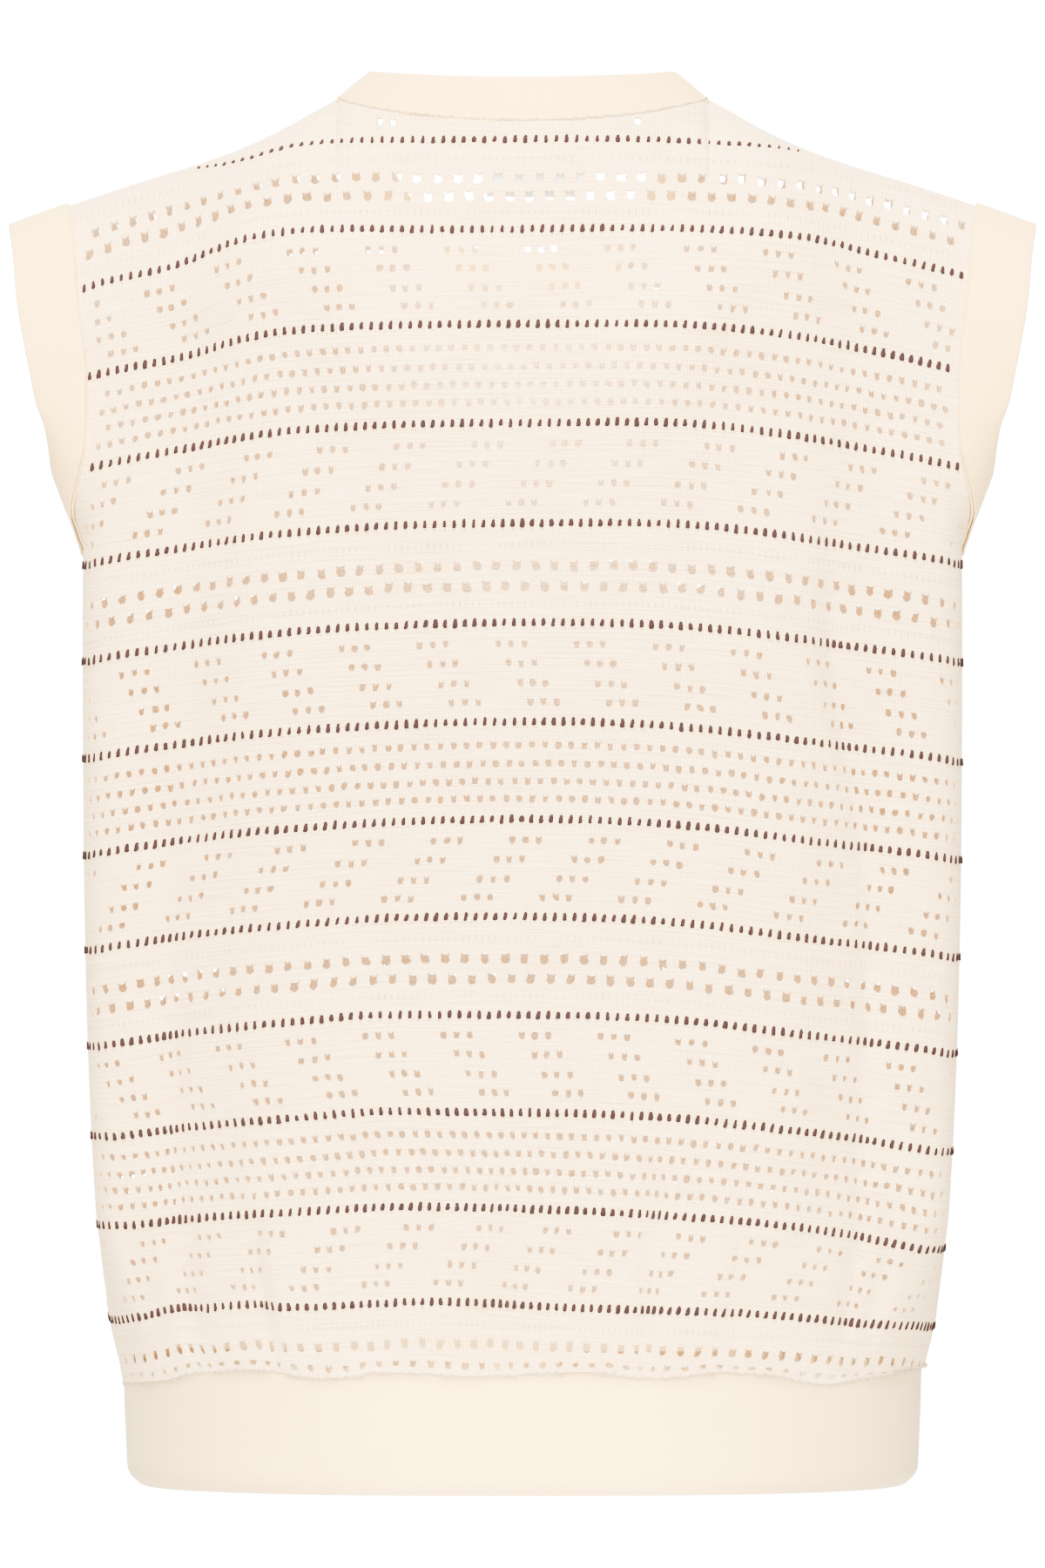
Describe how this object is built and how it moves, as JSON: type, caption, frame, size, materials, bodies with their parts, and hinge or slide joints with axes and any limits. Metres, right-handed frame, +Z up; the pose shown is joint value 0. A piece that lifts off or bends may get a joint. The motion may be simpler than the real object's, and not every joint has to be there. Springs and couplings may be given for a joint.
{
  "type": "sweater vest",
  "caption": "Sleeveless openwork-knit vest, worn and hollow, with a crew neck band, armhole bands, a wide hem band and a blank label inside the back neck.",
  "frame": {"origin": "midway between the two neck points, where the shoulder lines meet the neck opening and the wearer's shoulders carry the vest", "axes": "+X to the wearer's left, +Y towards the back, +Z up; the front faces -Y"},
  "size_m": [0.4554, 0.1959, 0.6277],
  "materials": {
    "knit": "off-white openwork knit, matte, with short plum-brown stitches in rows",
    "band": "smooth cream fine-gauge knit, folded double, with a faint sheen",
    "label": "smooth white satin tape, blank"
  },
  "bodies": {
    "root": {"back_panel": "knit", "front_panel": "knit", "neck_band": "band", "armhole_band_left": "band", "armhole_band_right": "band", "hem_band": "band", "neck_label": "label"}
  },
  "joints": []
}
